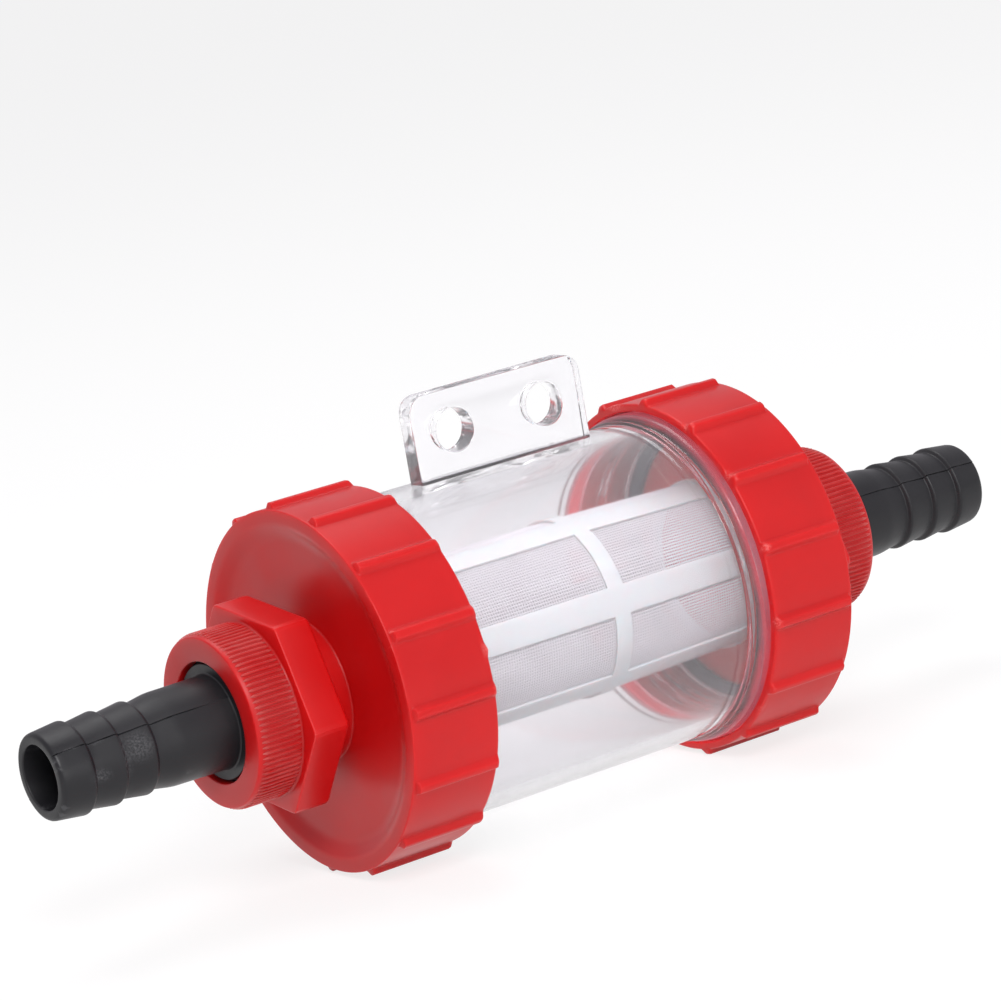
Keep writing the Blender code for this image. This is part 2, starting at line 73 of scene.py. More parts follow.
def filleted(corners, arcSteps=4):
    # Corners are (x, radius, fillet, step). The fillet rounds the corner.
    # The step divides the run to the next corner, and 0 leaves it whole.
    outline = []
    for i, (x, radius, fillet, step) in enumerate(corners):
        nextX, nextRadius, nextFillet, _ = corners[(i + 1) % len(corners)]
        here, goal = Vector((x, radius)), Vector((nextX, nextRadius))
        before, after = Vector(corners[i - 1][:2]) - here, goal - here
        reach = min(fillet, sideShare * before.length, sideShare * after.length)
        first = here + before.normalized() * reach
        last = here + after.normalized() * reach
        if reach > 0:
            for k in range(arcSteps + 1):
                s = k / arcSteps
                outline.append((1 - s) ** 2 * first + 2 * s * (1 - s) * here + s * s * last)
        else:
            outline.append(here)
        if step > 0:
            goal = goal - after.normalized() * min(nextFillet, sideShare * after.length)
            pieces = max(1, round((goal - last).length / step))
            outline += [last.lerp(goal, k / pieces) for k in range(1, pieces)]
    return outline


def surface(name, rows):
    # Joins rings of points into a closed skin: the last ring joins the first.
    width = len(rows[0])
    faces = []
    for i in range(len(rows)):
        a, b = i * width, (i + 1) % len(rows) * width
        faces += [(a + k, a + (k + 1) % width, b + (k + 1) % width, b + k) for k in range(width)]
    mesh = bpy.data.meshes.new(name)
    mesh.from_pydata([point for row in rows for point in row], [], faces)
    bm = bmesh.new()
    bm.from_mesh(mesh)
    bmesh.ops.recalc_face_normals(bm, faces=bm.faces)
    bm.to_mesh(mesh)
    bm.free()
    return mesh


def turned(name, side, corners, angles, wave=None):
    # Turns an outline about the axis. The wave gives each point's extra radius.
    rows = []
    for x, radius in filleted(corners):
        lifts = [wave(x, radius, a) if wave else 0.0 for a in angles]
        rows.append([polar(side * x, radius + lift, a) for a, lift in zip(angles, lifts)])
    return surface(name, rows)


def even(count, start=0.0):
    return [start + 360.0 * i / count for i in range(count)]


def mirrored(near):
    return sorted({-v for v in near} | set(near))


def around(offsets, count, phase):
    # Repeats a pattern of angles, so that columns crowd where the shape needs them.
    pitch = 360.0 / count
    return sorted((phase + i * pitch + offset) % 360.0 for i in range(count) for offset in offsets)


def meshOf(name, bm):
    mesh = bpy.data.meshes.new(name)
    bm.to_mesh(mesh)
    bm.free()
    return mesh


def addObject(name, mesh):
    item = bpy.data.objects.new(name, mesh)
    scene.collection.objects.link(item)
    return item


def dress(mesh, finish, crease=32):
    # One finish, smooth shading, and sharp edges where the skin bends by more than the crease.
    mesh.materials.clear()
    mesh.materials.append(finish)
    mesh.shade_smooth()
    mesh.set_sharp_from_angle(angle=math.radians(crease))


def addPiece(name, mesh, finish, crease=32):
    dress(mesh, finish, crease)
    return addObject(name, mesh)


def boolean(item, operation, other):
    step = item.modifiers.new("boolean", "BOOLEAN")
    step.operation, step.solver, step.object = operation, "EXACT", other


def bevelled(item, width, least):
    # Rounds the edges that bend by more than the least angle.
    bevel = item.modifiers.new("edge", "BEVEL")
    bevel.width, bevel.segments, bevel.limit_method = width * mm, 3, "ANGLE"
    bevel.angle_limit = math.radians(least)


def applied(item):
    # Turns an object with modifiers into a plain mesh.
    graph = bpy.context.evaluated_depsgraph_get()
    mesh = bpy.data.meshes.new_from_object(item.evaluated_get(graph), depsgraph=graph)
    item.modifiers.clear()
    item.data = mesh
    return item


def paint(item, name, side, strength):
    # Writes a value at each vertex, from its place along the axis, its radius and its angle.
    values = item.data.attributes.new(name, "FLOAT", "POINT")
    for i, vertex in enumerate(item.data.vertices):
        x, y, z = vertex.co.x / mm * side, vertex.co.y / mm, (vertex.co.z - axisZ) / mm
        values.data[i].value = strength(x, math.hypot(y, z), math.degrees(math.atan2(z, -y)))


def settle(item, body, nodes=()):
    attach(item, body)
    if nodes:
        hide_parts(*nodes)
    return item


# Nodes: each helper adds one and gives back the output that the next one takes

def feed(tree, value, socket):
    # A socket takes another node's output or a plain value.
    if isinstance(value, bpy.types.NodeSocket):
        tree.links.new(value, socket)
    else:
        socket.default_value = value


def mathNode(tree, operation, first, second=0.0):
    node = tree.nodes.new("ShaderNodeMath")
    node.operation = operation
    feed(tree, first, node.inputs[0])
    feed(tree, second, node.inputs[1])
    return node.outputs["Value"]


def combined(tree, **parts):
    node = tree.nodes.new("ShaderNodeCombineXYZ")
    for axis, value in parts.items():
        feed(tree, value, node.inputs[axis])
    return node.outputs["Vector"]


def mapped(tree, value, fromLow, fromHigh, toLow=0.0, toHigh=1.0):
    node = tree.nodes.new("ShaderNodeMapRange")
    parts = {"Value": value, "From Min": fromLow, "From Max": fromHigh, "To Min": toLow, "To Max": toHigh}
    for socket, part in parts.items():
        feed(tree, part, node.inputs[socket])
    return node.outputs["Result"]


def mixed(tree, factor, first, second, kind="MIX"):
    node = tree.nodes.new("ShaderNodeMix")
    node.data_type, node.blend_type = "RGBA", kind
    for socket, part in {"Factor": factor, "A": first, "B": second}.items():
        feed(tree, part, node.inputs[socket])
    return node.outputs["Result"]


def chosen(tree, factor, first, second):
    node = tree.nodes.new("ShaderNodeMixShader")
    for place, part in enumerate((factor, first, second)):
        tree.links.new(part, node.inputs[place])
    return node.outputs["Shader"]


def noisy(tree, scale, detail):
    # Noise on the piece's own coordinates.
    place = tree.nodes.new("ShaderNodeTexCoord")
    noise = tree.nodes.new("ShaderNodeTexNoise")
    tree.links.new(place.outputs["Object"], noise.inputs["Vector"])
    feed(tree, scale, noise.inputs["Scale"])
    noise.inputs["Detail"].default_value = detail
    return noise.outputs["Fac"]


def painted(tree, name):
    node = tree.nodes.new("ShaderNodeAttribute")
    node.attribute_name = name
    return node.outputs["Fac"]


def bumped(tree, height, strength, distance):
    node = tree.nodes.new("ShaderNodeBump")
    node.inputs["Strength"].default_value = strength
    node.inputs["Distance"].default_value = distance * mm
    tree.links.new(height, node.inputs["Height"])
    return node.outputs["Normal"]


# Finishes

def newGroup(name, inputs, outputs):
    tree = bpy.data.node_groups.new(name, "ShaderNodeTree")
    for socket, value in inputs.items():
        made = tree.interface.new_socket(socket, in_out="INPUT", socket_type="NodeSocketFloat")
        made.default_value = value
    for socket in outputs:
        tree.interface.new_socket(socket, in_out="OUTPUT", socket_type="NodeSocketFloat")
    return tree, tree.nodes.new("NodeGroupInput"), tree.nodes.new("NodeGroupOutput")


def mouldingGroup():
    # Uneven gloss and the faint grain of moulded plastic.
    scales = {"Cloud Scale": 40.0, "Grain Scale": 900.0}
    tree, given, result = newGroup("mouldedSkin", scales, ("Cloud", "Grain"))
    for socket, detail in (("Cloud", 3.0), ("Grain", 4.0)):
        tree.links.new(noisy(tree, given.outputs[socket + " Scale"], detail), result.inputs[socket])
    return tree


def edgeHighlightAndWearGroup():
    # Painted highlight, partly wear: pale edges where the surface bends outwards, broken up by noise.
    tree, given, result = newGroup("paintedEdgeHighlightAndWear", {"Start": 0.53, "Full": 0.62, "Patches": 160.0}, ("HighlightAndWear",))
    bend = tree.nodes.new("ShaderNodeNewGeometry").outputs["Pointiness"]
    edge = mapped(tree, bend, given.outputs["Start"], given.outputs["Full"])
    patches = mapped(tree, noisy(tree, given.outputs["Patches"], 3.0), 0.35, 0.65)
    tree.links.new(mathNode(tree, "MULTIPLY", edge, patches), result.inputs["HighlightAndWear"])
    return tree


moulding = mouldingGroup()
edgeHighlightAndWear = edgeHighlightAndWearGroup()
shared = {"ior": 1.46, "cloudLow": 0.3, "cloudHigh": 0.7, "grainDepth": 0.05, "spread": (1.0, 0.35, 0.3)}
specks = {"scale": 2400.0, "detail": 2.0, "low": 0.40, "high": 0.60, "least": 0.15}


def newFinish(name, values):
    # A material with its tree, and the moulded skin's slow cloud and fine grain at this finish's scales.
    made = bpy.data.materials.new(name)
    made.use_nodes = True
    tree = made.node_tree
    skin = tree.nodes.new("ShaderNodeGroup")
    skin.node_tree = moulding
    skin.inputs["Cloud Scale"].default_value = values["cloud"]
    skin.inputs["Grain Scale"].default_value = values["grain"]
    return made, tree, skin.outputs["Cloud"], skin.outputs["Grain"]


def setShader(tree, parts):
    shader = tree.nodes["Principled BSDF"]
    for socket, part in parts.items():
        feed(tree, part, shader.inputs[socket])
    return shader.outputs["BSDF"]


def withHighlightAndWear(tree, colour, highlightAndWearColour):
    # Pales the bent edges with a painted highlight that also stands for wear, and, in fine specks, pales the
    # scuffed spots that the scuff attribute marks.
    edge = tree.nodes.new("ShaderNodeGroup")
    edge.node_tree = edgeHighlightAndWear
    noise = noisy(tree, specks["scale"], specks["detail"])
    broken = mapped(tree, noise, specks["low"], specks["high"], specks["least"])
    speckled = mathNode(tree, "MULTIPLY", painted(tree, "scuff"), broken)
    most = mathNode(tree, "MAXIMUM", edge.outputs["HighlightAndWear"], speckled)
    return mixed(tree, most, colour, (*highlightAndWearColour, 1))


def plastic(name, values):
    # A moulded plastic: colour and gloss drift slowly, and a fine grain lifts the surface.
    made, tree, cloud, grain = newFinish(name, values)
    colour = mixed(tree, cloud, (*values["dark"], 1), (*values["light"], 1))
    # Bent edges get a painted highlight, partly wear, and scuffed spots get pale specks.
    if "highlightAndWearColour" in values:
        colour = withHighlightAndWear(tree, colour, values["highlightAndWearColour"])
    gloss = mapped(tree, cloud, shared["cloudLow"], shared["cloudHigh"],
                   values["glossiest"], values["dullest"])
    setShader(tree, {
        "Base Color": colour, "Roughness": gloss, "IOR": shared["ior"],
        "Normal": bumped(tree, grain, values["lift"], shared["grainDepth"]),
        "Specular IOR Level": values.get("shine", 0.5), "Subsurface Weight": values.get("depth", 0.0),
        "Subsurface Radius": shared["spread"], "Subsurface Scale": values.get("reach", 1.0) * mm,
    })
    return made


redPlastic = plastic("redPlastic", {
    "dark": (0.52, 0.0035, 0.0045), "light": (0.66, 0.0065, 0.0075), "cloud": 60.0, "grain": 1400.0,
    "glossiest": 0.28, "dullest": 0.44, "lift": 0.10, "depth": 0.75, "reach": 4.0, "shine": 0.4,
    # The pale red of the bent edges is a painted highlight, partly wear.
    "highlightAndWearColour": (0.80, 0.16, 0.15),
})
blackPlastic = plastic("blackPlastic", {
    "dark": (0.008, 0.008, 0.010), "light": (0.016, 0.0155, 0.018), "cloud": 90.0, "grain": 1100.0,
    "glossiest": 0.34, "dullest": 0.52, "lift": 0.35, "shine": 0.38, "highlightAndWearColour": (0.075, 0.075, 0.080),
})
darkRubber = plastic("darkRubber", {
    "dark": (0.042, 0.038, 0.060), "light": (0.062, 0.058, 0.085), "cloud": 80.0, "grain": 1500.0,
    "glossiest": 0.55, "dullest": 0.70, "lift": 0.25,
})
whitePlastic = plastic("whitePlastic", {
    "dark": (0.51, 0.505, 0.52), "light": (0.57, 0.565, 0.58), "cloud": 60.0, "grain": 1200.0,
    "glossiest": 0.35, "dullest": 0.48, "lift": 0.08, "depth": 0.6, "reach": 2.5,
})
gauze = plastic("whiteGauze", {
    "dark": (0.53, 0.51, 0.54), "light": (0.60, 0.58, 0.61), "cloud": 70.0, "grain": 1600.0,
    "glossiest": 0.45, "dullest": 0.55, "lift": 0.05,
})
clearLook = {
    "cloud": 35.0, "grain": 160.0, "glossiest": 0.04, "dullest": 0.09, "lift": 0.006, "grainDepth": 0.1,
    "slant": 0.25, "faceOn": (0.970, 0.962, 0.984, 1), "edgeOnTintAndShade": (0.60, 0.59, 0.62, 1), "clearness": 0.95,
    "shine": 0.35, "shadow": (1.0, 0.985, 0.99, 1), "paintedRedTint": (1.0, 0.40, 0.48, 1), "paintedRedFrost": 0.20,
    "paintedRedGlow": (0.22, 0.045, 0.060, 1),
}


def clearPlastic():
    # Clear styrene with a slight haze. Light reaches what is inside it through the shadow path.
    # The attribute marks where a red reflection and red glow of the cap beside it are painted in, with a
    # little frost.
    c = clearLook
    made, tree, cloud, grain = newFinish("clearPlastic", c)
    # Darker towards the silhouettes: partly the longer path through the tinted plastic, partly painted shade
    # for the darker surroundings that the edges would refract.
    slant = tree.nodes.new("ShaderNodeLayerWeight")
    slant.inputs["Blend"].default_value = c["slant"]
    depth = mixed(tree, slant.outputs["Facing"], c["faceOn"], c["edgeOnTintAndShade"])
    paintedRed = painted(tree, "paintedRed")
    gloss = mapped(tree, cloud, 0.0, 1.0, c["glossiest"], c["dullest"])
    frosted = mapped(tree, paintedRed, 0.0, 1.0, 0.0, c["paintedRedFrost"])
    # Painted red reflection of the cap: a red tint on the base colour and a red glow, where the attribute
    # marks it.
    skin = setShader(tree, {
        "Base Color": mixed(tree, paintedRed, depth, c["paintedRedTint"], "MULTIPLY"),
        "Emission Color": mixed(tree, paintedRed, (0, 0, 0, 1), c["paintedRedGlow"]), "Emission Strength": 1.0,
        "Roughness": mathNode(tree, "MAXIMUM", gloss, frosted),
        "Normal": bumped(tree, grain, c["lift"], c["grainDepth"]), "IOR": shared["ior"], "Metallic": 0.0,
        "Transmission Weight": c["clearness"], "Specular IOR Level": c["shine"],
    })
    paths = tree.nodes.new("ShaderNodeLightPath")
    passing = tree.nodes.new("ShaderNodeBsdfTransparent")
    passing.inputs["Color"].default_value = c["shadow"]
    either = chosen(tree, paths.outputs["Is Shadow Ray"], skin, passing.outputs["BSDF"])
    tree.links.new(either, tree.nodes["Material Output"].inputs["Surface"])
    return made


clear = clearPlastic()
print("finishes made")


# Coarse thread of the tube and the caps

thread = {"fade": 0.12, "halfFoot": 1.05, "flank": 0.5}  # the fade is in turns


def ridge(piece, side, x, degrees):
    # Height, from 0 to 1, of a right-handed ridge that starts at angle 0. The inlet's is turned end for end.
    turn = -degrees / 360.0 if side > 0 else (degrees - 180.0) / 360.0
    along = (x - piece["threadStart"]) / piece["pitch"] - turn
    nearest = round(along)
    winding = turn + nearest
    if winding < 0.0 or winding > piece["threadTurns"]:
        return 0.0
    away = abs(along - nearest) * piece["pitch"]
    fade = smooth(min(winding, piece["threadTurns"] - winding) / thread["fade"])
    return fade * smooth((thread["halfFoot"] - away) / thread["flank"])


# Clear tube with its bracket plate

tube = {
    "outer": 33.1, "bore": 30.3, "end": 46.9, "collarNear": 35.6, "collarFar": 31.6, "collarRadius": 34.5,
    "collarSlope": 0.9, "collarHidden": 33.3, "beadMiddle": 30.3, "beadWidth": 1.5, "beadCrest": 0.3,
    "beadRadius": 33.7, "threadStart": 38.7, "threadTurns": 1.5, "pitch": 4.0, "crest": 34.5, "columns": 360,
    "threadStep": 0.45, "boreStep": 2.0, "wallStep": 1.5, "lip": 0.1,
}
# Where the collar gets its painted red reflection and glow of the cap's mouth.
paintedRedArea = {"above": 0.3, "most": 36.0, "start": 31.8, "rise": 0.5, "end": 37.0, "fall": 0.8}


def tubeWave(x, radius, degrees):
    if abs(radius - tube["outer"]) > onSkin:
        return 0.0
    side = 1 if x > 0 else -1
    return (tube["crest"] - tube["outer"]) * ridge(tube, side, side * x, degrees)


def tubeMesh():
    # One outline from end to end, so both ends' threads are made in the same skin.
    t = tube
    bead, crest = t["beadWidth"] / 2, t["beadWidth"] / 2 * t["beadCrest"]
    half = [
        (t["beadMiddle"] - bead, t["outer"], 0.4, 0), (t["beadMiddle"] - crest, t["beadRadius"], 0.3, 0),
        (t["beadMiddle"] + crest, t["beadRadius"], 0.3, 0), (t["beadMiddle"] + bead, t["outer"], 0.3, 0),
        (t["collarFar"], t["outer"] + t["lip"], 0.3, 0),
        (t["collarFar"] + t["collarSlope"], t["collarRadius"], 0.8, 0),
        (t["collarNear"], t["collarRadius"], 0.3, 0), (t["collarNear"], t["outer"], 0.2, t["threadStep"]),
        (t["end"], t["outer"], 0.7, 0), (t["end"], t["bore"], 0.3, t["boreStep"]),
    ]
    left = [(-x, radius, fillet, 0) for x, radius, fillet, _ in reversed(half[6:])]
    left += [(-t["collarHidden"] - t["collarSlope"], t["collarRadius"], 0.8, 0),
             (-t["collarHidden"], t["outer"] + t["lip"], 0.3, 0)]
    steps = {1: t["threadStep"], len(left) - 1: t["wallStep"]}
    left = [(*corner[:3], steps.get(i, 0)) for i, corner in enumerate(left)]
    return turned("clearTube", 1, half + left, even(t["columns"]), tubeWave)


plate = {
    "half": 20.6, "thick": 4.5, "top": 50.6, "corner": 3.6, "cornerSteps": 8, "foot": 31.6, "hole": 4.3,
    "holeSides": 64, "cutDepth": 12.0, "spacing": 21.8, "holeHeight": 42.3, "edge": 0.45, "edgeAngle": 40,
}


def plateOutline():
    p = plate
    outline = [(-p["half"], p["foot"]), (p["half"], p["foot"])]
    for sign, first in ((1, 0), (-1, 90)):
        for k in range(p["cornerSteps"] + 1):
            angle = math.radians(first + 90 * k / p["cornerSteps"])
            outline.append((sign * (p["half"] - p["corner"]) + p["corner"] * math.cos(angle),
                            p["top"] - p["corner"] + p["corner"] * math.sin(angle)))
    return outline


def holeCutter(sign):
    radius = plate["hole"] * mm
    middle = Matrix.Translation((sign * plate["spacing"] / 2 * mm, 0, axisZ + plate["holeHeight"] * mm))
    bm = bmesh.new()
    bmesh.ops.create_cone(bm, cap_ends=True, segments=plate["holeSides"], radius1=radius, radius2=radius,
                          depth=plate["cutDepth"] * mm, matrix=middle @ Matrix.Rotation(math.pi / 2, 4, "X"))
    return addObject("plateHole", meshOf("plateHole", bm))


def plateObject():
    outline = plateOutline()
    bm = bmesh.new()
    front, back = [[bm.verts.new((x * mm, y * plate["thick"] / 2 * mm, axisZ + z * mm)) for x, z in outline]
                   for y in (-1, 1)]
    bm.faces.new(front)
    bm.faces.new(reversed(back))
    for k in range(len(outline)):
        j = (k + 1) % len(outline)
        bm.faces.new((front[k], back[k], back[j], front[j]))
    bmesh.ops.recalc_face_normals(bm, faces=bm.faces)
    item = addObject("plate", meshOf("plate", bm))
    cutters = [holeCutter(sign) for sign in (-1, 1)]
    for cutter in cutters:
        boolean(item, "DIFFERENCE", cutter)
    bevelled(item, plate["edge"], plate["edgeAngle"])
    applied(item)
    for cutter in cutters:
        bpy.data.objects.remove(cutter, do_unlink=True)
    return item


def paintedRedShare(x, radius, degrees):
    # Where the collar gets a painted red reflection and glow of the cap's mouth beside it.
    b = paintedRedArea
    if not tube["outer"] + b["above"] < radius < b["most"]:
        return 0.0
    return smooth((x - b["start"]) / b["rise"]) * smooth((b["end"] - x) / b["fall"])


def makeTube():
    item = addPiece("clearTube", tubeMesh(), clear)
    extra = plateObject()
    boolean(item, "UNION", extra)
    applied(item)
    bpy.data.objects.remove(extra, do_unlink=True)
    dress(item.data, clear)
    # The collar's painted red reflection and glow of the cap.
    paint(item, "paintedRed", 1, paintedRedShare)
    return settle(item, "tube", ["housing"])


makeTube()
print("tube made")


# Screw caps

cap = {
    "outer": 36.5, "bore": 34.85, "mouth": 33.8, "face": 53.5, "disc": 52.0, "floor": 49.0, "rim": 33.6,
    "rimFoot": 30.8, "ribs": 15, "ribHeight": 1.2, "halfFoot": 1.75, "halfCrest": 0.45, "ribEnd": 52.9,
    "ribFade": 0.5, "ribTaper": 0.6, "mouthHeight": 0.4, "mouthFade": 1.3, "skirtFrom": 36.1,
    "markReach": 3.0, "scuffFrom": 36.0, "spigot": 14.0, "spigotCrest": 15.0, "spigotBore": 11.0,
    "spigotEnd": 68.0, "spigotPitch": 2.5, "spigotSlope": 3.2, "spigotFrom": 56.6, "spigotRise": 1.2,
    "spigotTo": 67.6, "spigotFall": 1.0, "ring": 15.9, "ringEnd": 45.0, "threadStart": 40.7,
    "threadCrest": 33.45, "threadTurns": 1.0, "pitch": 4.0, "phase": {"inlet": 94.5, "outlet": 85.6},
    "halfway": 12.0,
    "near": (0.0, 0.5, 1.0, 1.25, 1.5, 1.75, 2.0, 2.25, 2.5, 3.0, 4.5, 7.0, 9.5),
}
# Small dents and nubs: x, degrees, half length, half width and height.
capMarks = {
    "inlet": ((33.95, 11.0, 0.7, 1.2, 0.9), (34.1, 33.0, 0.5, 0.7, -0.15)),
    "outlet": ((34.3, 39.5, 1.1, 0.8, -0.45), (34.5, 14.0, 1.0, 0.8, -0.35), (34.3, 315.0, 1.1, 0.9, -0.45),
               (34.2, 63.5, 0.9, 0.9, -0.40), (33.9, 101.0, 0.7, 3.2, 0.22), (34.0, 350.0, 0.5, 1.1, -0.20)),
}
markEdge = {"reach": 1.25, "ripple": 0.25, "along": 9.0, "across": 5.0}


def marked(marks, x, radius, degrees):
    # The strongest of the marks here: how far it reaches, from 0 to 1, and its height.
    most, height = 0.0, 0.0
    for markX, markDegrees, halfLength, halfWidth, lift in marks:
        off = offAngle(degrees, markDegrees) * math.radians(1) * radius
        share = smooth(markEdge["reach"] - math.hypot((x - markX) / halfLength, off / halfWidth))
        ripple = math.sin(markEdge["along"] * x + markEdge["across"] * off)
        share *= 1.0 - markEdge["ripple"] + markEdge["ripple"] * ripple
        if share > most:
            most, height = share, lift
    return most, most * height


def scuff(item, side, marks, least):
    # Marks the scuffed vertices outside the least radius, for the finish to pale them.
    def strength(x, radius, degrees):
        return marked(marks, x, radius, degrees)[0] if radius > least else 0.0
    paint(item, "scuff", side, strength)


def ribWave(x, radius, degrees, phase):
    away = abs(offAngle(degrees, phase, 360.0 / cap["ribs"])) * math.radians(1) * cap["outer"]
    up = smooth((cap["halfFoot"] - away) / (cap["halfFoot"] - cap["halfCrest"]))
    fade = smooth((cap["ribEnd"] - x) / cap["ribFade"])
    return cap["ribHeight"] * up * fade * smooth(cap["mouthHeight"] + (x - cap["mouth"]) / cap["mouthFade"])


def spigotWave(side, x, degrees):
    # The fine thread that the nut runs on.
    along = (x / cap["spigotPitch"] + side * degrees / 360.0) % 1.0
    lift = (cap["spigotCrest"] - cap["spigot"]) * smooth(cap["spigotSlope"] * (0.5 - abs(along - 0.5)))
    rise = smooth((x - cap["spigotFrom"]) / cap["spigotRise"])
    return lift * rise * smooth((cap["spigotTo"] - x) / cap["spigotFall"])


def capWave(side, phase, marks):
    def wave(x, radius, degrees):
        if radius > cap["skirtFrom"] and x < cap["ribEnd"]:
            dent = marked(marks, x, radius, degrees)[1] if x < cap["mouth"] + cap["markReach"] else 0.0
            return ribWave(x, radius, degrees, phase) + dent
        if abs(radius - cap["spigot"]) < onSkin:
            return spigotWave(side, x, degrees)
        if abs(radius - cap["bore"]) < onSkin:
            return (cap["threadCrest"] - cap["bore"]) * ridge(cap, side, x, degrees)
        return 0.0
    return wave


def makeCap(end, side):
    c, marks, name = cap, capMarks[end], end + "CapBody"
    corners = [
        (c["mouth"], c["bore"], 0.3, 0), (c["mouth"], c["outer"], 0.5, 0.4),
        (c["mouth"] + c["markReach"], c["outer"], 0, 2.0), (c["ribEnd"] - c["ribTaper"], c["outer"], 0, 0.1),
        (c["ribEnd"], c["outer"], 0, 0), (c["face"], c["outer"], 0.8, 0), (c["face"], c["rim"], 0.7, 0),
        (c["disc"], c["rimFoot"], 1.3, 6.0), (c["disc"], c["spigot"], 0.5, 0.25),
        (c["spigotEnd"], c["spigot"], 0.4, 0), (c["spigotEnd"], c["spigotBore"], 0.3, 4.0),
        (c["ringEnd"], c["spigotBore"], 0.2, 0), (c["ringEnd"], c["ring"], 0.3, 0),
        (c["floor"], c["ring"], 0.3, 5.0), (c["floor"], c["bore"], 0.3, 0.4),
    ]
    phase = c["phase"][end]
    angles = around(mirrored(c["near"]) + [c["halfway"]], c["ribs"], phase)
    item = addPiece(name, turned(name, side, corners, angles, capWave(side, phase, marks)), redPlastic, 40)
    scuff(item, side, marks, c["scuffFrom"])
    return settle(item, end + "_closure", [end + "_cap"])


for end, side in ends:
    makeCap(end, side)
print("caps made")


# Parts of node trees that grow bars and wires

def newTree(name, counts, lengths):
    # A geometry tree whose inputs are whole numbers, lengths and the finish.
    tree = bpy.data.node_groups.new(name, "GeometryNodeTree")
    tree.interface.new_socket("Geometry", in_out="OUTPUT", socket_type="NodeSocketGeometry")
    kinds = {"NodeSocketInt": counts, "NodeSocketFloat": lengths, "NodeSocketMaterial": ("Finish",)}
    for kind, labels in kinds.items():
        for label in labels:
            tree.interface.new_socket(label, in_out="INPUT", socket_type=kind)
    return tree, tree.nodes.new("NodeGroupInput").outputs, tree.nodes.new("NodeGroupOutput")


def axisLine(tree, given, count):
    # A line along X from Start to End, with evenly spaced points.
    line = tree.nodes.new("GeometryNodeCurvePrimitiveLine")
    for socket in ("Start", "End"):
        tree.links.new(combined(tree, X=given[socket]), line.inputs[socket])
    resample = tree.nodes.new("GeometryNodeResampleCurve")
    resample.inputs["Count"].default_value = count
    tree.links.new(line.outputs["Curve"], resample.inputs["Curve"])
    return resample.outputs["Curve"]


def circleAngles(tree, index, count):
    # Cosine and sine of even steps round a circle.
    angle = mathNode(tree, "MULTIPLY", mathNode(tree, "DIVIDE", index, count), 2 * math.pi)
    return mathNode(tree, "COSINE", angle), mathNode(tree, "SINE", angle)


def circleCurve(tree, radius, sides):
    node = tree.nodes.new("GeometryNodeCurvePrimitiveCircle")
    node.inputs["Resolution"].default_value = sides
    feed(tree, radius, node.inputs["Radius"])
    return node.outputs["Curve"]


def copies(tree, shape, count, place, turn=(0, 0, 0)):
    # Instances of a shape at points that a place field sets.
    points = tree.nodes.new("GeometryNodePoints")
    tree.links.new(count, points.inputs["Count"])
    tree.links.new(place, points.inputs["Position"])
    node = tree.nodes.new("GeometryNodeInstanceOnPoints")
    node.inputs["Rotation"].default_value = turn
    tree.links.new(points.outputs["Points"], node.inputs["Points"])
    tree.links.new(shape, node.inputs["Instance"])
    return node.outputs["Instances"]


def swept(tree, path, section):
    bar = tree.nodes.new("GeometryNodeCurveToMesh")
    tree.links.new(path, bar.inputs["Curve"])
    tree.links.new(section, bar.inputs["Profile Curve"])
    return bar


def through(tree, kind, shape):
    # Passes geometry through a node of this kind.
    node = tree.nodes.new(kind)
    tree.links.new(shape, node.inputs["Geometry"])
    return node


def finishTree(tree, given, result, shape):
    smoothed = through(tree, "GeometryNodeSetShadeSmooth", shape)
    finish = through(tree, "GeometryNodeSetMaterial", smoothed.outputs["Geometry"])
    tree.links.new(given["Finish"], finish.inputs["Material"])
    tree.links.new(finish.outputs["Geometry"], result.inputs["Geometry"])
    return tree


def grown(name, tree, values):
    # Runs a node tree with its named inputs and keeps the plain mesh.
    item = addObject(name, bpy.data.meshes.new(name))
    step = item.modifiers.new("tree", "NODES")
    step.node_group = tree
    for socket in tree.interface.items_tree:
        if socket.in_out == "INPUT" and socket.name in values:
            step[socket.identifier] = values[socket.name]
    return applied(item)


# Union nuts: the hexagon and collar are one skin, and a node tree sets the grip ridges round the collar

nut = {
    "rear": 57.7, "step": 65.7, "front": 75.6, "corner": 21.9, "rearCut": 0.6, "collar": 17.32, "edge": 0.9,
    "chamfer": 0.35, "hole": 12.2, "bore": 15.1, "wall": 73.3, "turn": -7.4, "flats": 6, "hexFrom": 18.5,
    "cornerCut": 0.22, "cornerHalf": 2.2, "ridges": 96, "ridge": 0.30, "ridgeStart": 0.35, "ridgeEnd": 0.75,
    "ridgePoints": 13, "ridgeSides": 10, "ridgeTip": 0.25, "ridgeTaper": 14.0, "halfway": 30.0,
    "near": (0.0, 0.5, 1.0, 1.6, 2.2, 3.0, 4.5, 7.0, 10.0, 13.5, 17.0, 20.5, 24.0, 27.0),
}


def nutWave(x, radius, degrees):
    # The hexagon is stated by its corner radius and cut back to its flats.
    if radius < nut["hexFrom"]:
        return 0.0
    half = 180.0 / nut["flats"]
    away = abs(offAngle(degrees, nut["turn"], 2 * half))
    flat = nut["corner"] * math.cos(math.radians(half)) / math.cos(math.radians(half - away))
    return flat - nut["cornerCut"] * smooth(1.0 - away / nut["cornerHalf"]) - nut["corner"]


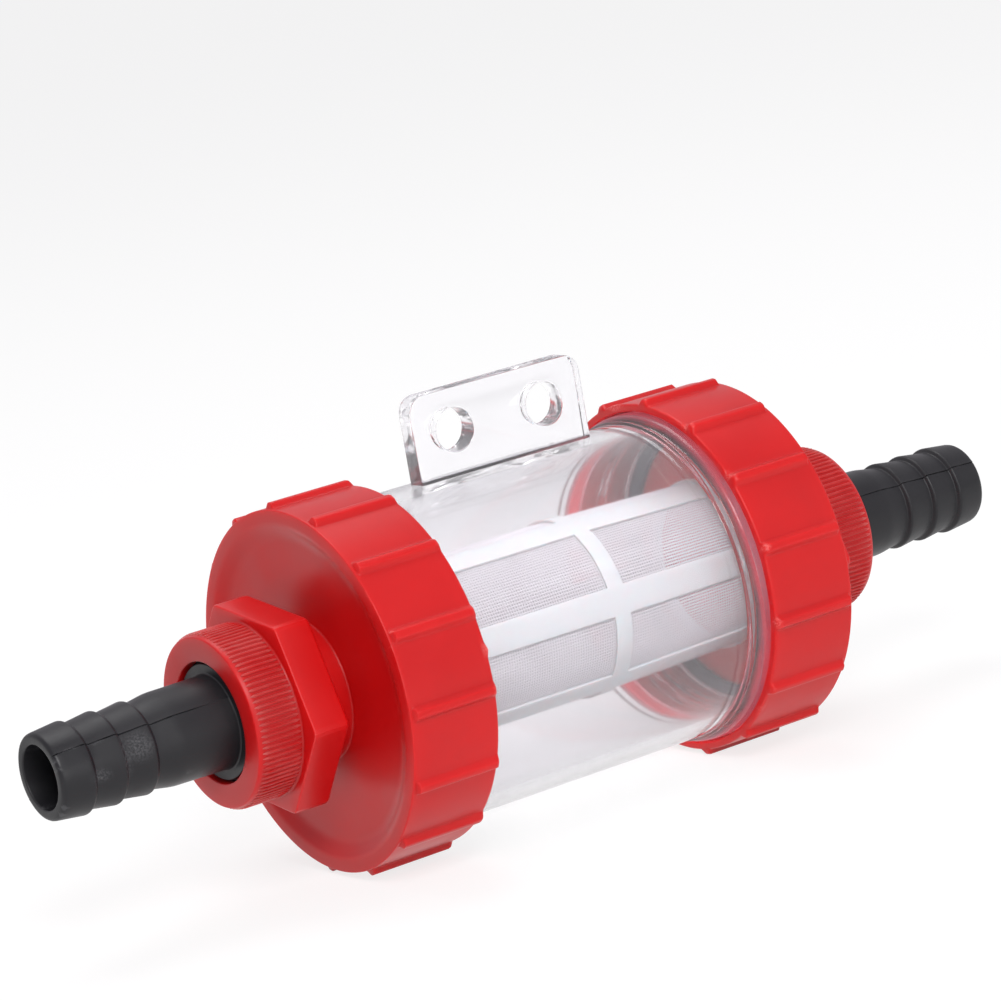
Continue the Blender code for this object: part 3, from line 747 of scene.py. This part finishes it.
def ridgeTree():
    # Bars along X set evenly round a circle, each tapered at its ends.
    lengths = ("Start", "End", "Ring Radius", "Bar Radius", "Axis Height")
    tree, given, result = newTree("gripRidges", ("Count",), lengths)
    share = tree.nodes.new("GeometryNodeSplineParameter").outputs["Factor"]
    fromEnd = mathNode(tree, "MINIMUM", share, mathNode(tree, "SUBTRACT", 1.0, share))
    rise = mathNode(tree, "ADD", mathNode(tree, "MULTIPLY", fromEnd, nut["ridgeTaper"]), nut["ridgeTip"])
    section = circleCurve(tree, given["Bar Radius"], nut["ridgeSides"])
    bar = swept(tree, axisLine(tree, given, nut["ridgePoints"]), section)
    bar.inputs["Fill Caps"].default_value = True
    tree.links.new(mathNode(tree, "MINIMUM", rise, 1.0), bar.inputs["Scale"])
    index = tree.nodes.new("GeometryNodeInputIndex").outputs["Index"]
    across, up = [mathNode(tree, "MULTIPLY", given["Ring Radius"], part)
                  for part in circleAngles(tree, index, given["Count"])]
    place = combined(tree, Y=across, Z=mathNode(tree, "ADD", up, given["Axis Height"]))
    bars = copies(tree, bar.outputs["Mesh"], given["Count"], place)
    real = through(tree, "GeometryNodeRealizeInstances", bars)
    return finishTree(tree, given, result, real.outputs["Geometry"])


def makeNut(end, side, tree):
    n, name = nut, end + "NutBody"
    corners = [
        (n["rear"], n["bore"], 0.3, 0), (n["rear"], n["corner"] - n["rearCut"], 0.3, 0),
        (n["rear"] + n["rearCut"], n["corner"], 0.3, 2.0), (n["step"], n["corner"], 0.35, 0),
        (n["step"], n["collar"], 0.5, 1.0), (n["front"] - n["edge"], n["collar"], 0.3, 0),
        (n["front"], n["collar"] - n["chamfer"], 0.25, 0), (n["front"], n["hole"], 0.25, 0),
        (n["wall"], n["hole"], 0, 0), (n["wall"], n["bore"], 0.2, 3.0),
    ]
    angles = around(mirrored(n["near"]) + [n["halfway"]], n["flats"], n["turn"])
    body = addPiece(name, turned(name, side, corners, angles, nutWave), redPlastic, 40)
    settle(body, end + "_union", [end + "_nut"])
    ridges = grown(end + "NutRidges", tree, {
        "Count": n["ridges"], "Start": side * (n["step"] + n["ridgeStart"]) * mm,
        "End": side * (n["front"] - n["ridgeEnd"]) * mm, "Ring Radius": n["collar"] * mm,
        "Bar Radius": n["ridge"] * mm, "Axis Height": axisZ, "Finish": redPlastic,
    })
    return settle(ridges, end + "_union")


gripTree = ridgeTree()
for end, side in ends:
    makeNut(end, side, gripTree)
print("nuts made")


# Hose tails

tail = {
    "inner": 70.0, "flange": 14.1, "flangeEnd": 73.0, "hub": 11.6, "hubEnd": 74.9, "body": 9.3, "bore": 6.4,
    "tip": 113.3, "neck": 8.45, "peaks": (92.9, 99.7, 106.5), "drop": 0.6, "groove": 5.0, "columns": 120,
    "columnShift": 1.5, "columnGap": 1.2, "scuffFrom": 6.0,
}
seam = {
    "angle": 37.0, "half": 1.0, "depth": 0.17, "waves": ((0.45, 2.3, 0.0), (0.3, 5.1, 1.0)), "start": 78.0,
    "fade": 6.0, "step": 0.09, "stepRise": 0.8, "stepWidth": 5.0, "overBore": 0.8, "overBody": 0.3,
    "near": (0.0, 0.3, 0.6, 0.9, 1.3, 1.8, 2.6),
}
# Rubbed patches of the inlet tail: x, degrees, half length, half width and no height.
tailMarks = ((96.0, 15.0, 3.2, 3.2, 0.0), (99.3, 8.0, 0.7, 5.5, 0.0), (105.0, -6.0, 2.0, 1.5, 0.0),
             (113.0, 17.0, 0.4, 0.5, 0.0), (113.1, 29.0, 0.4, 0.4, 0.0), (112.9, 255.0, 0.4, 0.9, 0.0),
             (86.0, -38.0, 0.6, 0.6, 0.0), (104.0, 36.0, 2.0, 0.35, 0.0), (110.0, 37.0, 2.4, 0.3, 0.0))


def tailWave(x, radius, degrees):
    # The mould's parting line: an uneven groove along both sides, with a low step beside it.
    onTube = tail["bore"] + seam["overBore"] < radius < tail["body"] + seam["overBody"]
    if not onTube or x < tail["hubEnd"]:
        return 0.0
    away = offAngle(degrees, seam["angle"], 180.0)
    uneven = 1.0 + sum(height * math.sin(x * rate + shift) for height, rate, shift in seam["waves"])
    step = seam["step"] * smooth(away / seam["stepRise"]) * smooth(1.0 - away / seam["stepWidth"])
    groove = seam["depth"] * uneven * smooth(1.0 - abs(away) / seam["half"])
    return step - groove * smooth((x - seam["start"]) / seam["fade"])


def tailAngles():
    # Even columns, crowded at the parting line.
    dense = around(mirrored(seam["near"]), 2, seam["angle"])
    rest = even(tail["columns"], tail["columnShift"])
    apart = {a for a in rest if all(abs(offAngle(a, d)) > tail["columnGap"] for d in dense)}
    return sorted(set(dense) | apart)


def makeTail(end, side):
    t, name = tail, end + "TailBody"
    corners = [
        (t["inner"], t["bore"], 0.3, 0), (t["inner"], t["flange"], 0.2, 0),
        (t["flangeEnd"], t["flange"], 0.2, 0), (t["flangeEnd"], t["hub"], 0, 0),
        (t["hubEnd"], t["hub"], 0.35, 0),
        (t["hubEnd"] - 0.3, t["body"] + 0.1, 0.5, 1.5),
        (t["peaks"][0] - t["drop"] - t["groove"], t["body"], 1.0, 1.2),
    ]
    for peak in t["peaks"]:
        corners += [(peak - t["drop"], t["neck"], 0.25, 0), (peak, t["body"], 0.45, 1.2)]
    corners += [(t["tip"], t["neck"] + 0.1, 0.9, 0), (t["tip"], t["bore"], 0.35, 3.0)]
    item = addPiece(name, turned(name, side, corners, tailAngles(), tailWave), blackPlastic, 40)
    if end == "inlet":
        scuff(item, side, tailMarks, t["scuffFrom"])
    return settle(item, end + "_barb", [end + "_tail"])


# Seals: the caps' gaskets and the tails' washers

seals = {
    "gasket": {"start": 47.2, "end": 48.7, "inner": 27.8, "outer": 34.4, "fillet": 0.3, "columns": 120,
               "body": "_seal"},
    "washer": {"start": 68.3, "end": 69.7, "inner": 9.5, "outer": 14.0, "fillet": 0.25, "columns": 72,
               "body": "_barb"},
}


def makeSeal(end, side, kind):
    s, name = seals[kind], end + kind.capitalize() + "Ring"
    section = [(s["start"], s["inner"], s["fillet"], 0), (s["start"], s["outer"], s["fillet"], 0),
               (s["end"], s["outer"], s["fillet"], 0), (s["end"], s["inner"], s["fillet"], 0)]
    item = addPiece(name, turned(name, side, section, even(s["columns"])), darkRubber)
    return settle(item, end + s["body"], [end + "_" + kind])


for end, side in ends:
    makeTail(end, side)
    for kind in seals:
        makeSeal(end, side, kind)
print("tails and seals made")


# Screen: cage and woven sleeve

screen = {
    "closed": -30.1, "closedRim": 0.6, "bay": -27.5, "bayEnd": 7.4, "ring": 11.2, "seat": 43.7, "open": 48.7,
    "bayEdge": 0.8, "baySteps": 12, "outer": 18.6, "seatOuter": 17.7, "hubs": (0.97, 0.4), "wall": 0.5,
    "edge": 0.2, "edgeAngle": 50, "ribs": 6, "phase": 10.0, "ribWidth": 18.0, "ribColumns": 6,
    "wires": 180, "wirePoints": 14, "wire": 0.155, "wireSides": 4, "hoops": 124, "hoopPoints": 90,
    "sleeveStart": -28.4, "sleeveEnd": 44.7, "sleeveGap": 0.2,
}


def cageRadius(x):
    share = max(0.0, (x - screen["ring"]) / (screen["open"] - screen["ring"]))
    return screen["outer"] + (screen["seatOuter"] - screen["outer"]) * share


def bayStations(start, end):
    # Stations along a row of windows: one close to each end and even ones between.
    edge, steps = screen["bayEdge"], screen["baySteps"]
    inside = [start + edge + (end - start - 2 * edge) * k / steps for k in range(steps + 1)]
    return [start, *inside, end]


def cageMesh():
    # A sheet with windows between the ribs, closed by a flat end.
    s = screen
    step = s["ribWidth"] / s["ribColumns"]
    columns = round(360 / step)
    perRib = columns // s["ribs"]
    stations = [s["closed"], s["closed"] + s["closedRim"], *bayStations(s["bay"], s["bayEnd"]),
                *bayStations(s["ring"], s["seat"]), s["open"]]
    bm = bmesh.new()

    def circle(x, radius):
        first = s["phase"] - s["ribWidth"] / 2
        return [bm.verts.new(polar(x, radius, first + step * k)) for k in range(columns)]

    rings = [circle(x, cageRadius(x)) for x in stations]
    for i in range(len(stations) - 1):
        first, second, middle = rings[i], rings[i + 1], (stations[i] + stations[i + 1]) / 2
        inBay = s["bay"] < middle < s["bayEnd"] or s["ring"] < middle < s["seat"]
        for k in range(columns):
            if not inBay or k % perRib < s["ribColumns"]:
                j = (k + 1) % columns
                bm.faces.new((first[k], second[k], second[j], first[j]))
    hubs = [circle(s["closed"], s["outer"] * share) for share in s["hubs"]]
    for first, second in ((rings[0], hubs[0]), (hubs[0], hubs[1])):
        for k in range(columns):
            j = (k + 1) % columns
            bm.faces.new((first[k], first[j], second[j], second[k]))
    bm.faces.new(hubs[1])
    bmesh.ops.recalc_face_normals(bm, faces=bm.faces)
    return meshOf("screenCage", bm)


def makeCage():
    item = addPiece("screenCage", cageMesh(), whitePlastic)
    wall = item.modifiers.new("wall", "SOLIDIFY")
    wall.thickness, wall.offset, wall.use_even_offset = screen["wall"] * mm, -1.0, True
    bevelled(item, screen["edge"], screen["edgeAngle"])
    applied(item)
    dress(item.data, whitePlastic, 40)
    return settle(item, "outlet_closure", ["screen_cage"])


def weaveTree():
    # Hoops and lengthwise wires of a sleeve that tapers past its knee.
    lengths = ("Start", "Knee", "End", "Radius", "End Radius", "Wire Radius", "Axis Height")
    tree, given, result = newTree("wovenSleeve", ("Hoops", "Wires"), lengths)
    index = tree.nodes.new("GeometryNodeInputIndex").outputs["Index"]
    share = mathNode(tree, "DIVIDE", index, mathNode(tree, "SUBTRACT", given["Hoops"], 1.0))
    reach = mathNode(tree, "SUBTRACT", given["End"], given["Start"])
    along = mathNode(tree, "ADD", given["Start"], mathNode(tree, "MULTIPLY", reach, share))
    hoop = circleCurve(tree, 1.0, screen["hoopPoints"])
    hoops = copies(tree, hoop, given["Hoops"], combined(tree, X=along), (0, math.pi / 2, 0))
    across, up = circleAngles(tree, index, given["Wires"])
    line = axisLine(tree, given, screen["wirePoints"])
    wires = copies(tree, line, given["Wires"], combined(tree, Y=across, Z=up))
    both = tree.nodes.new("GeometryNodeJoinGeometry")
    for part in (hoops, wires):
        tree.links.new(part, both.inputs["Geometry"])
    real = through(tree, "GeometryNodeRealizeInstances", both.outputs["Geometry"])
    place = tree.nodes.new("GeometryNodeInputPosition")
    parts = tree.nodes.new("ShaderNodeSeparateXYZ")
    tree.links.new(place.outputs["Position"], parts.inputs["Vector"])
    x, y, z = [parts.outputs[axis] for axis in "XYZ"]
    radius = mapped(tree, x, given["Knee"], given["End"], given["Radius"], given["End Radius"])
    height = mathNode(tree, "ADD", mathNode(tree, "MULTIPLY", z, radius), given["Axis Height"])
    moved = through(tree, "GeometryNodeSetPosition", real.outputs["Geometry"])
    spread = combined(tree, X=x, Y=mathNode(tree, "MULTIPLY", y, radius), Z=height)
    tree.links.new(spread, moved.inputs["Position"])
    section = circleCurve(tree, given["Wire Radius"], screen["wireSides"])
    wire = swept(tree, moved.outputs["Geometry"], section)
    return finishTree(tree, given, result, wire.outputs["Mesh"])


def makeSleeve():
    s = screen
    under = s["wall"] + s["sleeveGap"]
    item = grown("screenWeave", weaveTree(), {
        "Hoops": s["hoops"], "Wires": s["wires"], "Start": s["sleeveStart"] * mm, "Knee": s["ring"] * mm,
        "End": s["sleeveEnd"] * mm, "Radius": (s["outer"] - under) * mm,
        "End Radius": (cageRadius(s["sleeveEnd"]) - under) * mm, "Wire Radius": s["wire"] * mm,
        "Axis Height": axisZ, "Finish": gauze,
    })
    print("weave triangles", len(item.data.polygons) * 2)
    return settle(item, "outlet_closure", ["screen_mesh"])


makeCage()
makeSleeve()
print("screen made")


# Floor, light and camera, in metres

stage = {
    "size": 3.0, "bounce": 0.9, "shown": 0.25, "glow": 0.79, "roughness": 0.9, "world": 0.38,
    "worldTint": (0.98, 0.95, 1.0, 1), "sheen": 0.7, "sheenTint": (0.97, 0.94, 1.0, 1), "white": (1, 1, 1, 1),
}
lights = {
    "keyLight": {"place": (-0.42, -0.92, 0.85), "size": 0.5, "power": 8.6},
    "frontLight": {"place": (0.0, -1.15, 0.16), "size": 0.45, "power": 2.4},
    "fillLight": {"place": (0.9, -0.7, 0.45), "size": 0.6, "power": 0.4},
    "topLight": {"place": (0.1, 0.3, 1.1), "size": 0.7, "power": 4.6},
}
lightAim = (0, 0, 0.04)


def seenDirectly(tree, extras):
    # 1 where the camera or one of the extra kinds of ray looks, 0 where light bounces.
    paths = tree.nodes.new("ShaderNodeLightPath")
    seen = paths.outputs["Is Camera Ray"]
    for extra in extras:
        seen = mathNode(tree, "MAXIMUM", seen, paths.outputs[extra])
    return seen


def floorFinish():
    # The floor shows white with the object's soft shadow, and still throws light back up.
    made = bpy.data.materials.new("paleFloor")
    made.use_nodes = True
    tree = made.node_tree
    shown = setShader(tree, {
        "Base Color": (*[stage["shown"]] * 3, 1), "Roughness": stage["roughness"], "Specular IOR Level": 0.0,
        "Emission Color": stage["white"], "Emission Strength": stage["glow"],
    })
    bounce = tree.nodes.new("ShaderNodeBsdfDiffuse")
    bounce.inputs["Color"].default_value = (*[stage["bounce"]] * 3, 1)
    seen = seenDirectly(tree, ("Is Glossy Ray", "Is Transmission Ray"))
    either = chosen(tree, seen, bounce.outputs["BSDF"], shown)
    tree.links.new(either, tree.nodes["Material Output"].inputs["Surface"])
    return made


def makeFloor():
    bm = bmesh.new()
    bmesh.ops.create_grid(bm, x_segments=1, y_segments=1, size=stage["size"])
    floor = addObject("studioFloor", meshOf("studioFloor", bm))
    floor.data.materials.append(floorFinish())


def background(tree, tint, strength):
    node = tree.nodes.new("ShaderNodeBackground")
    node.inputs["Color"].default_value = tint
    node.inputs["Strength"].default_value = strength
    return node.outputs["Background"]


def makeWorld():
    # White to the camera and through the tube, a dimmer light on the object, and a sheen of its own.
    world = bpy.data.worlds.new("studio")
    scene.world = world
    world.use_nodes = True
    tree = world.node_tree
    tree.nodes.remove(tree.nodes["Background"])
    paths = tree.nodes.new("ShaderNodeLightPath")
    light = background(tree, stage["worldTint"], stage["world"])
    sheen = background(tree, stage["sheenTint"], stage["sheen"])
    reflected = chosen(tree, paths.outputs["Is Glossy Ray"], light, sheen)
    seen = seenDirectly(tree, ("Is Transmission Ray",))
    either = chosen(tree, seen, reflected, background(tree, stage["white"], 1.0))
    tree.links.new(either, tree.nodes["World Output"].inputs["Surface"])


def makeLight(name, values):
    data = bpy.data.lights.new(name, "AREA")
    data.shape, data.size, data.energy = "SQUARE", values["size"], values["power"]
    item = addObject(name, data)
    item.location = values["place"]
    item.rotation_mode = "QUATERNION"
    item.rotation_quaternion = (Vector(lightAim) - Vector(values["place"])).to_track_quat("-Z", "Y")


# Pixels of the photograph for the focal length, side and centre, radians, and millimetres for the rest.
view = {
    "focal": 4468.254, "side": 1001, "yaw": 0.573, "pitch": 0.191, "roll": 0.172, "centreX": 532.182,
    "centreY": 619.049, "distance": 895.529, "shiftX": 0.85, "sensor": 36.0, "near": 0.01, "far": 20.0,
}


def makeCamera():
    # The view was fitted to the photograph's circles. Its origin is on the axis, a little beside the middle.
    yaw, pitch, roll = view["yaw"], view["pitch"], view["roll"]
    forward = Vector((math.sin(yaw) * math.cos(pitch), math.cos(yaw) * math.cos(pitch), -math.sin(pitch)))
    right = forward.cross(Vector((0, 0, 1))).normalized()
    down = forward.cross(right)
    rightRolled = math.cos(roll) * right + math.sin(roll) * down
    downRolled = -math.sin(roll) * right + math.cos(roll) * down
    middle, depth = (view["side"] - 1) / 2, view["distance"]
    offX, offY = [(view[centre] - middle) / view["focal"] * depth for centre in ("centreX", "centreY")]
    place = -(rightRolled * offX + downRolled * offY + forward * depth)
    place = (place + Vector((view["shiftX"], 0, 0))) * mm + Vector((0, 0, axisZ))
    data = bpy.data.cameras.new("camera")
    data.sensor_width = view["sensor"]
    data.lens = view["focal"] / view["side"] * view["sensor"]
    data.clip_start, data.clip_end = view["near"], view["far"]
    camera = addObject("camera", data)
    turn = Matrix((rightRolled, -downRolled, -forward)).transposed().to_4x4()
    camera.matrix_world = Matrix.Translation(place) @ turn
    scene.camera = camera


makeFloor()
makeWorld()
for name, values in lights.items():
    makeLight(name, values)
makeCamera()
scene.view_settings.view_transform = "Standard"
